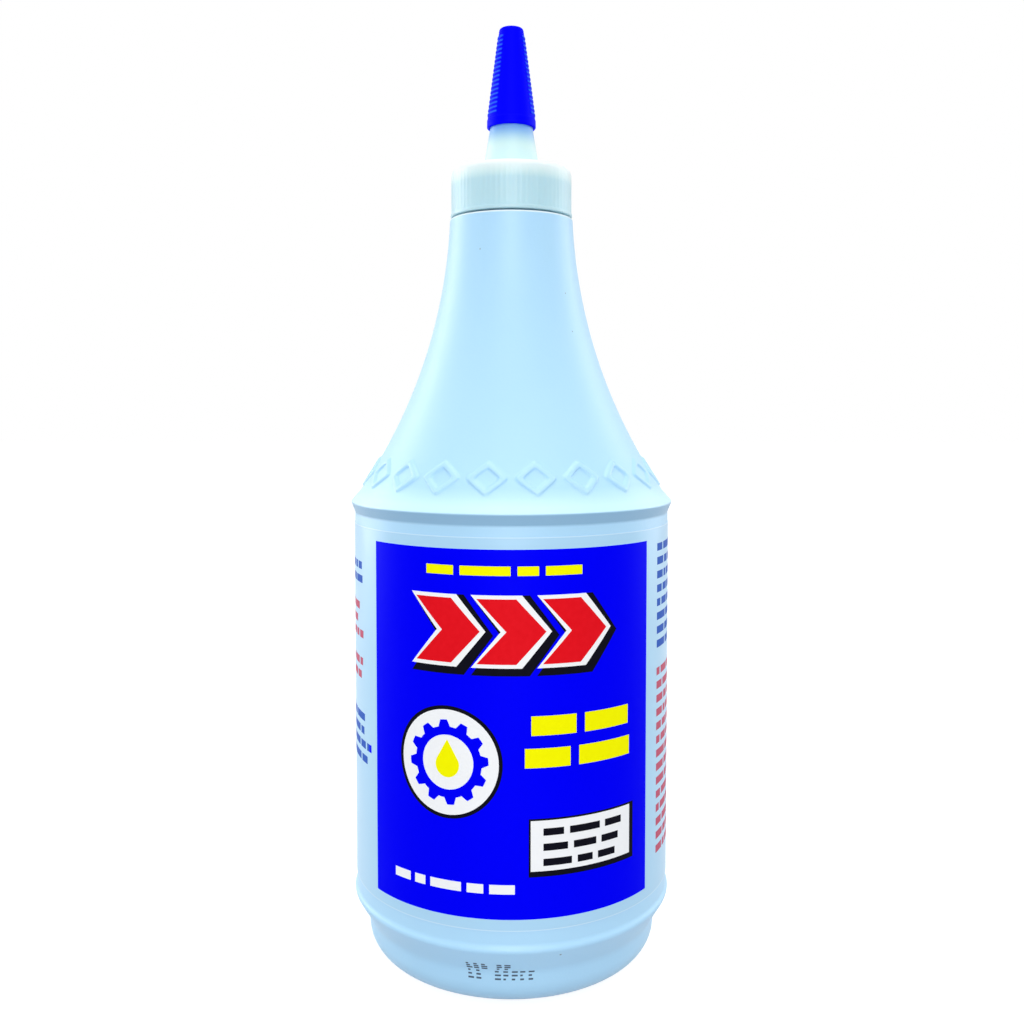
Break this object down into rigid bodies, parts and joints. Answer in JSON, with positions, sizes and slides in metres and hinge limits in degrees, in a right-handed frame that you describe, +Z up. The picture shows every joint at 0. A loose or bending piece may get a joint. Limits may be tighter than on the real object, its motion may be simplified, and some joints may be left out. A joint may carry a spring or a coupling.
{
  "type": "oil additive bottle",
  "caption": "Round squeeze bottle with a flared shoulder, wrap-around label, screw-on conical pouring spout and a pull-off tip cap.",
  "frame": {"origin": "middle of the resting face under the bottle", "axes": "+Z up along the bottle's axis to the spout's tip; the label's front field faces -Y; +X to the right seen from the front"},
  "size_m": [0.0848, 0.0848, 0.2433],
  "materials": {
    "bottle_plastic": "satin blow-moulded polyethylene, pale and opaque",
    "oil": null,
    "liner_foam": "white foamed polyethylene",
    "closure_plastic": "natural injection-moulded polyethylene, slightly translucent",
    "tip_plastic": "saturated blue injection-moulded polyethylene",
    "label_film": "thin pale wrap-around film, gloss",
    "ink_blue": "gloss blue print",
    "ink_dark": "gloss near-black print",
    "ink_white": "gloss white print",
    "ink_yellow": "gloss yellow print",
    "ink_red": "gloss red print"
  },
  "bodies": {
    "bottle": {"bottle": "bottle_plastic", "oil_fill": "oil", "label": "label_film", "print_blue": "ink_blue", "print_dark": "ink_dark", "print_white": "ink_white", "print_yellow": "ink_yellow", "print_red": "ink_red"},
    "liner": {"liner": "liner_foam"},
    "closure": {"spout_cap": "closure_plastic"},
    "tip": {"tip_cap": "tip_plastic"}
  },
  "joints": [
    {"name": "closure_lift", "type": "slide", "parent": "bottle", "child": "liner", "axis": [0, 0, 1], "range_m": [0, 0.0127]},
    {"name": "closure_turn", "type": "hinge", "parent": "liner", "child": "closure", "pos_m": [0, 0, 0.2], "axis": [0, 0, 1], "range_deg": [0, 1080]},
    {"name": "tip_pull", "type": "slide", "parent": "closure", "child": "tip", "axis": [0, 0, 1], "range_m": [0, 0.03]}
  ],
  "couplings": [
    {"joint": "closure_lift", "follows": "closure_turn", "m_per_rad": 0.00067323}
  ]
}
